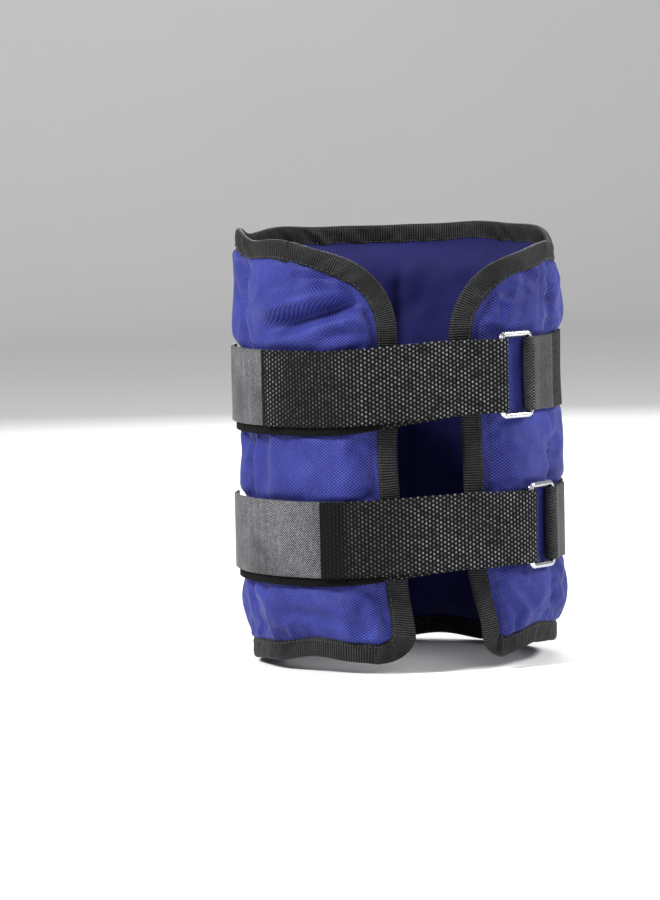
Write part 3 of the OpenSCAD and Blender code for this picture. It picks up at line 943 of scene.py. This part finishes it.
def band_radius(angle):
    """Middle of the band: on the wall all round, pulled nearly straight over the gap."""
    a = np.abs(wrap_angle(angle))
    pull = 0.62
    flat = (1 - pull) + pull * math.cos(math.radians(SHOULDER)) / np.cos(np.radians(np.minimum(a, SHOULDER)))
    return BAND_R * np.where(a < SHOULDER, flat, 1.0)


def band_drop(level):
    """The band slants down from the ring to the left panel."""
    return lambda angle: -BAND_DROP[level] * strap_slant(angle)


def tail_drop(level):
    return lambda angle: -TAIL_DROP[level] * strap_slant(angle)


def soften(path, reach=3):
    """Rounds off the corners of a path; the ends stay."""
    path = np.array(path, float)
    for _ in range(reach):
        path[1:-1] = 0.25 * path[:-2] + 0.5 * path[1:-1] + 0.25 * path[2:]
    return path


def arc_path(level, start, end, radius, drop=lambda a: 0 * a, step=0.8):
    angle = np.linspace(start, end, max(3, int(abs(end - start) / step)))
    r = radius(angle)
    z = SIDE_Z[level] + drop(angle)
    return soften(round_the_cuff(r, angle, z), 4)


def bar_points(level, joint, degrees, reach=FOLD_R):
    """Points on a circle round a bar: 0 is along the wall away from the gap, 90 outwards."""
    r, angle = bar(level, joint)
    a = math.radians(angle)
    along, out = np.array([math.cos(a), math.sin(a)]), np.array([math.sin(a), -math.cos(a)])
    centre = r * out
    t = np.radians(np.asarray(degrees, float))[:, None]
    xy = centre + reach * (np.cos(t) * along + np.sin(t) * out)
    return np.column_stack([xy, np.full(len(xy), SIDE_Z[level])])


BRIDGE_START = -12.0        # the band is cut here, under the tail


def make_band(level):
    left_bar, right_bar = bar(level, "strap_peel")[1], bar(level, "ring_pivot")[1]
    path = arc_path(level, 360 + BRIDGE_START, right_bar + 12.2, band_radius, band_drop(level))
    body = strap(f"{level}_band_webbing", path, MAT["band"], seed=41)
    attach(body, "cuff")
    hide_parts(f"{level}_band")

    bridge_path = arc_path(level, left_bar, BRIDGE_START, band_radius, band_drop(level))
    lead = bar_points(level, "strap_peel", [-88])
    bridge = strap(f"{level}_band_end_webbing", np.vstack([lead, bridge_path[1:]]), MAT["band"],
                   seed=42)
    b = round_the_cuff(BAND_R, left_bar - 22, SIDE_Z[level]) * MM
    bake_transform(bridge)


def tail_radius(level):
    left_bar = bar(level, "strap_peel")[1]
    hook_from = TAIL_ENDS[level] + HOOK_LAP

    def radius(angle):
        near_bar = smooth((angle - (left_bar - 15)) / 13)
        on_loop = smooth((-14 - angle) / 10)
        on_hook = smooth((hook_from + 2 - angle) / 6)
        lift = 1.75 + 1.5 * on_loop + 1.7 * on_hook
        lift = lift + (2 * FOLD_R - lift) * near_bar
        return band_radius(angle) + lift
    return radius


# painted shade along each tail: (distance from the end, share of the knuckles' painted highlight taken away)
PAINTED_TAIL_SHADE = {"upper": [(0, 1.0), (2.5, 0.95), (3.5, 0.15), (9, 0.3), (18, 0.75), (42, 0.7), (62, 0.0)],
           "lower": [(0, 1.0), (11, 0.96), (15, 0.7), (36, 0.45), (52, 0.0)]}


def make_tail(level):
    left_bar = bar(level, "strap_peel")[1]
    fold = bar_points(level, "strap_peel", np.linspace(-92, 88, 16))
    arc = arc_path(level, left_bar - 1.2, TAIL_ENDS[level], tail_radius(level), tail_drop(level))
    path = np.vstack([fold, arc])
    tail = strap(f"{level}_strap_tail_webbing", path, MAT["webbing"], step=1.0, seed=43,
                 painted_shade=PAINTED_TAIL_SHADE[level])
    away = round_the_cuff(BAND_R + 5, left_bar - 12, SIDE_Z[level]) * MM
    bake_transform(tail)
    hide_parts(f"{level}_strap_tail")


def make_hook_tape(level):
    inner = tail_radius(level)
    seam = TAIL_ENDS[level]
    path = arc_path(level, seam + HOOK_LAP, HOOK_ENDS[level],
                    lambda a: np.where(a > seam - 1, inner(a) - HOOK_DROP, inner(seam) - HOOK_DROP),
                    tail_drop(level))
    hook = strap(f"{level}_hook_tape_strip", path, MAT["hook"], thickness=1.4, step=1.0, seed=44,
                 splay=0.8)
    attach(hook, f"{level}_tail")
    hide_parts(f"{level}_hook_tape")


def make_loop_tape(level):
    path = arc_path(level, *LOOP_SPAN, lambda a: band_radius(a) + LOOP_RISE, band_drop(level))
    pile_tape = strap(f"{level}_loop_tape_strip", path, MAT["loop"], thickness=1.4, step=0.8,
                      wobble=0.15, seed=45)
    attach(pile_tape, "cuff")
    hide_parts(f"{level}_loop_tape")


def make_keeper(level):
    bar_r, angle = bar(level, "ring_pivot")
    under = arc_path(level, angle + 12, angle + 1.5, lambda a: BAND_R + 0 * a)
    fold = bar_points(level, "ring_pivot", np.linspace(-92, -270, 18))
    over = arc_path(level, angle + 3.4, angle + 16,
                    lambda a: LOOP_R + 0.05 + 2.6 * (1 - smooth((a - angle - 0.5) / 6.5)))
    keeper = strap(f"{level}_keeper_webbing", np.vstack([under, fold, over]), MAT["keeper"],
                   step=0.8, wobble=0.05, seed=46)
    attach(keeper, "cuff")
    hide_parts(f"{level}_keeper")


# ---------------------------------------------------------------- stitching

def stitches(name, points, body, material, length=2.3, radius=0.32, pitch=3.2,
             outward=1):
    """Separate thread stitches along a line of points, half sunk in the cloth; outward is -1
    on the side that faces the leg."""
    lift, sides = 0.1, 6
    points = np.asarray(points, float)
    d = np.r_[0, np.cumsum(np.linalg.norm(np.diff(points, axis=0), axis=1))]
    count = int(d[-1] / pitch)
    centres = (np.arange(count) + 0.5) * d[-1] / max(count, 1)
    at = np.stack([np.interp(centres, d, points[:, i]) for i in range(3)], -1)
    ahead = np.stack([np.interp(centres + 0.4, d, points[:, i]) for i in range(3)], -1)
    behind = np.stack([np.interp(centres - 0.4, d, points[:, i]) for i in range(3)], -1)
    verts, faces = [], []
    profile = [(-0.5, 0.35), (-0.38, 0.85), (0.0, 1.0), (0.38, 0.85), (0.5, 0.35)]
    for p, q, w in zip(at, ahead, behind):
        t = q - w
        t /= np.linalg.norm(t)
        n = np.array([p[0], p[1], 0.0])
        n /= np.linalg.norm(n)
        n = n * outward
        b = np.cross(t, n)
        b /= np.linalg.norm(b)
        n = np.cross(b, t)
        base = len(verts)
        for u, w_r in profile:
            sink = lift + radius * 0.6 * (1 - (2 * u) ** 2)
            for k in range(sides):
                a = math.tau * k / sides
                verts.append(p + t * u * length + n * (sink + radius * w_r * math.sin(a))
                             + b * radius * w_r * math.cos(a))
        for i in range(len(profile) - 1):
            for k in range(sides):
                a0, a1 = base + i * sides + k, base + i * sides + (k + 1) % sides
                faces.append((a0, a1, a1 + sides, a0 + sides))
        faces.append(tuple(base + k for k in range(sides))[::-1])
        faces.append(tuple(base + (len(profile) - 1) * sides + k for k in range(sides)))
    obj = make_mesh(name, verts, faces, np.zeros((len(verts), 2)), material)
    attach(obj, body)
    return obj


def make_stitching(wall):
    for side, name in ((-1, "left"), (1, "right")):
        angle, z = front_edge(side, SEAM_IN + 0.3)
        line = wall.at(np.asarray(angle) % 360, z)[10:-30]
        stitches(f"{name}_edge_seam_stitches", line, "cuff", MAT["blue_thread"],
                 radius=0.26)
    top = CUFF_H / 2 - 11
    z = np.linspace(-top, top, 120)
    for i, channel in enumerate(CHANNELS, 1):
        stitches(f"pocket_seam_stitches_{i}", wall.at(np.full_like(z, channel), z), "cuff",
                 MAT["blue_thread"], radius=0.26)
    inset = 8.4
    height = float(np.interp(inset, TAPE_SECTION[:10, 0][::-1], TAPE_SECTION[:10, 1][::-1]))
    edges = {"left_binding": lambda i: front_edge(-1, i), "right_binding": lambda i: front_edge(1, i),
             "top_binding": lambda i: rim_edge(1, i, 0.0),
             "bottom_binding": lambda i: rim_edge(-1, i, 0.0)}
    for name, edge in edges.items():
        angle, z = edge(inset)
        lift = SIDE_TAPE_LIFT if name in ("left_binding", "right_binding") else 0.0
        for face, where in ((1, "outer"), (-1, "inner")):
            r = sewn_radius(angle, z) + face * (height + lift + 0.1)
            stitches(f"{name}_{where}_stitches", warp(round_the_cuff(r, angle, z)), "cuff",
                     MAT["black_thread"], length=2.0, radius=0.24, pitch=3.0,
                     outward=face)


# ---------------------------------------------------------------- pouches and fill

def panel_span(angle, inset):
    """Lowest and highest place on the panel at each angle, inset from its edges."""
    x = np.where(np.abs(wrap_angle(angle)) < 65, SEAM_R * np.abs(np.sin(np.radians(angle))), 1e3)
    into = np.clip(GAP_HALF + TOP_CORNER - x, 0, TOP_CORNER - inset - 1)
    top = CUFF_H / 2 - TOP_CORNER + np.sqrt((TOP_CORNER - inset) ** 2 - into ** 2)
    return inset - CUFF_H / 2, top


def bag_faces(cols, rows):
    """Faces of a bag: a grid in front, a grid behind, and a strip that joins their borders."""
    n = cols * rows
    faces = []
    for c in range(cols - 1):
        for w in range(rows - 1):
            a = c * rows + w
            faces.append((a, a + rows, a + rows + 1, a + 1))
            faces.append((n + a, n + a + 1, n + a + rows + 1, n + a + rows))
    border = ([c * rows for c in range(cols)] + [(cols - 1) * rows + w for w in range(1, rows)]
              + [c * rows + rows - 1 for c in range(cols - 2, -1, -1)]
              + [w for w in range(rows - 2, 0, -1)])
    for k, a in enumerate(border):
        b = border[(k + 1) % len(border)]
        faces.append((b, a, n + a, n + b))
    return faces


def make_pouch(i, wall):
    seams = [PANEL_START] + CHANNELS + [360 - PANEL_START]
    a0, a1 = seams[i - 1], seams[i]
    for kind, drop in (("bag", 0.0), ("fill", 0.9)):
        cols, rows = (34, 44) if kind == "bag" else (26, 34)
        inner_spread = 1.4 + drop
        side = math.degrees((2.0 + drop) / BORE_R)
        angle = np.linspace(a0 + side, a1 - side, cols)
        low, top = panel_span(angle, SEAM_IN + 4.0 + drop)
        share = np.linspace(0, 1, rows)
        A = np.repeat(angle[:, None], rows, 1)
        Z = low + (top[:, None] - low) * share
        surface = wall.at(A, Z)
        outer = np.hypot(surface[..., 0], surface[..., 1]) - 1.9 - drop
        inner = np.full_like(outer, BORE_R + 1.6 + inner_spread * 0.5)
        u = np.clip(np.minimum(A - angle[0], angle[-1] - A) * math.pi / 180 * BORE_R / 9, 0, 1)
        v = np.clip(np.minimum(top[:, None] - Z, Z - low) / 9, 0, 1)
        full = np.sqrt(1 - (1 - u) ** 2) * np.sqrt(1 - (1 - v) ** 2)
        middle = (outer + inner) / 2
        middle = np.minimum(middle, outer - 1.0)
        bulge = 0.3 * LUMPS(np.radians(A) * 70 + 13 * i, Z) * full
        r_out = middle + 0.4 + (outer - middle - 0.4) * full - np.abs(bulge)
        r_in = middle - 0.4 - (middle - 0.4 - inner) * full
        front = round_the_cuff(r_out, A, Z).reshape(-1, 3)
        back = round_the_cuff(r_in, A, Z).reshape(-1, 3)
        faces = bag_faces(cols, rows)
        flat = np.stack([np.radians(A) * 70, Z], -1).reshape(-1, 2)
        node = f"pouch_bag_{i}" if kind == "bag" else f"sand_fill_{i}"
        piece = make_mesh(f"{node}_soft", warp(np.vstack([front, back])), faces,
                          np.vstack([flat, flat]), MAT["pouch" if kind == "bag" else "sand"])
        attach(piece, "cuff")
        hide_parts(node)


# ---------------------------------------------------------------- stage, light, camera

FLOOR_CLEAR = 0.1           # the floor lies this far under the lowest stitch or binding


def make_stage():
    floor_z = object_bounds()[0].z - FLOOR_CLEAR * MM
    # the sweep stands past every camera that goes round the cuff at the photograph's distance
    span, front, back, rise, bend = 4.5, -4.5, 3.0, 2.8, 0.5
    profile = [(front, 0.0), (back, 0.0)]
    profile += [(back + bend * math.sin(t), bend * (1 - math.cos(t)))
                for t in np.linspace(0, math.pi / 2, 14)[1:]]
    profile.append((back + bend, rise))
    verts = [(x, y, floor_z + z) for x in (-span, span) for y, z in profile]
    n = len(profile)
    faces = [(i, n + i, n + i + 1, i + 1) for i in range(n - 1)]
    mesh = bpy.data.meshes.new("studio_floor")
    mesh.from_pydata(verts, [], faces)
    mesh.shade_smooth()
    obj = bpy.data.objects.new("studio_floor", mesh)
    bpy.context.scene.collection.objects.link(obj)
    n = Nodes("studio_white")
    cloud = n.noise(3.0, 2.0)
    mesh.materials.append(n.finish(n.blend(cloud, (0.86, 0.86, 0.86), (0.90, 0.90, 0.90)), 0.8))


def area_light(name, place, aim, size, power, tint=(1, 1, 1)):
    light = bpy.data.lights.new(name, "AREA")
    light.shape, light.size, light.energy, light.color = "DISK", size, power, tint
    obj = bpy.data.objects.new(name, light)
    obj.location = place
    obj.rotation_euler = (Vector(aim) - Vector(place)).to_track_quat("-Z", "Y").to_euler()
    bpy.context.scene.collection.objects.link(obj)


def make_light():
    world = bpy.data.worlds.new("studio")
    world.use_nodes = True
    back = world.node_tree.nodes["Background"]
    back.inputs["Color"].default_value = (1, 1, 1, 1)
    back.inputs["Strength"].default_value = 0.32
    bpy.context.scene.world = world
    area_light("left", (-1.15, -0.45, 1.0), (0, 0, 0.02), 0.45, 36)
    area_light("right", (1.25, -0.25, 0.85), (0, 0, 0), 0.5, 22)
    area_light("front", (0.25, -1.7, 0.7), (0, 0, 0), 0.8, 5)
    area_light("top", (0.1, 0.2, 1.5), (0, 0, 0), 0.8, 6)
    area_light("behind", (0.3, 1.5, 0.6), (0, 0, 0), 0.7, 10)
    view = bpy.context.scene.view_settings
    view.view_transform = "Standard"
    view.look = "None"


CAMERA_ROLL = -1.2          # the worn cuff leans a little to the left


def make_camera():
    azimuth, elevation, distance = math.radians(-12), math.radians(4.5), 2.4
    aim = Vector((0, 0, -0.003))
    back = Vector((math.sin(azimuth) * math.cos(elevation),
                   -math.cos(azimuth) * math.cos(elevation), math.sin(elevation)))
    data = bpy.data.cameras.new("camera")
    data.lens, data.sensor_width = 189, 36
    data.clip_start, data.clip_end = 0.05, 20
    data.shift_x = -71 / 900
    cam = bpy.data.objects.new("camera", data)
    cam.location = aim + back * distance
    roll = Quaternion((0, 0, 1), math.radians(CAMERA_ROLL))
    cam.rotation_euler = ((-back).to_track_quat("-Z", "Y") @ roll).to_euler()
    bpy.context.scene.collection.objects.link(cam)
    bpy.context.scene.camera = cam


def main():
    make_camera()
    make_light()
    cover, wall = make_cover()
    lining = make_lining(wall)
    make_bindings()
    for level in ("upper", "lower"):
        make_band(level)
        make_loop_tape(level)
        make_keeper(level)
        make_tail(level)
        make_hook_tape(level)
        frame["nodes"][f"{level}_ring"].data.materials.clear()
        frame["nodes"][f"{level}_ring"].data.materials.append(MAT["ring"])
    make_stitching(wall)
    for i in range(1, 7):
        make_pouch(i, wall)
    make_stage()


main()
